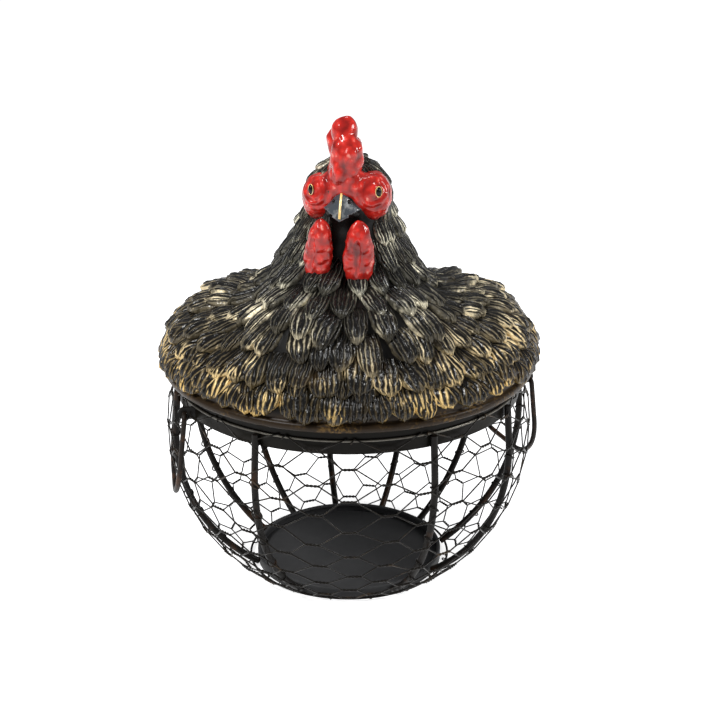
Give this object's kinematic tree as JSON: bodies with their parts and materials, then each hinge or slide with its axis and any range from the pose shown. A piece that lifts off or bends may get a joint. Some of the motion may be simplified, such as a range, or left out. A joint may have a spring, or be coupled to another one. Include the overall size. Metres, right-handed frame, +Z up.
{
  "type": "wire basket with lid",
  "caption": "Round wire-ribbed netting basket on a dished base, with a hen-shaped lid that lifts off and hinged wire drop handles.",
  "frame": {"origin": "middle of the base's underside, on the surface it stands on", "axes": "+Z up; the hen faces -Y, and the handles hang at the left and right sides"},
  "size_m": [0.2263, 0.224, 0.2835],
  "materials": {
    "base_steel": "satin",
    "rib_wire": "satin, brown where it has rubbed",
    "dark_wire": "satin",
    "band_steel": "satin",
    "lacing_wire": "bright",
    "netting_wire": "bronze black",
    "handle_wire": "satin, brown where it has rubbed",
    "feathers": "glossy black, dry-brushed with antique gold",
    "comb_red": "glossy red",
    "beak": "glossy steel grey",
    "eye_black": "glossy black"
  },
  "bodies": {
    "basket": {"base_dish": "base_steel", "base_wire": "dark_wire", "rib_01": "rib_wire", "rib_02": "rib_wire", "rib_03": "rib_wire", "rib_04": "rib_wire", "rib_05": "rib_wire", "rib_06": "rib_wire", "rib_07": "rib_wire", "rib_08": "rib_wire", "rib_09": "rib_wire", "rib_10": "rib_wire", "rim_band": "band_steel", "lacing_wire": "lacing_wire", "netting": "netting_wire", "eye_left_front": "dark_wire", "eye_left_rear": "dark_wire", "eye_right_front": "dark_wire", "eye_right_rear": "dark_wire"},
    "handle_left": {"handle_left": "handle_wire"},
    "handle_right": {"handle_right": "handle_wire"},
    "lid": {"hen_body": "feathers", "hen_comb": "comb_red", "hen_beak": "beak", "hen_wattle_left": "comb_red", "hen_wattle_right": "comb_red", "hen_eye_left": "eye_black", "hen_eye_right": "eye_black"}
  },
  "joints": [
    {"name": "lid_lift", "type": "slide", "parent": "basket", "child": "lid", "axis": [0, 0, 1], "range_m": [0, 0.15]},
    {"name": "handle_left_swing", "type": "hinge", "parent": "basket", "child": "handle_left", "pos_m": [-0.09888, -0.0139, 0.11829], "axis": [-0.1392, 0.9903, 0], "range_deg": [0, 120]},
    {"name": "handle_right_swing", "type": "hinge", "parent": "basket", "child": "handle_right", "pos_m": [0.09191, 0.03901, 0.11829], "axis": [0.3907, -0.9205, 0], "range_deg": [0, 120]}
  ]
}
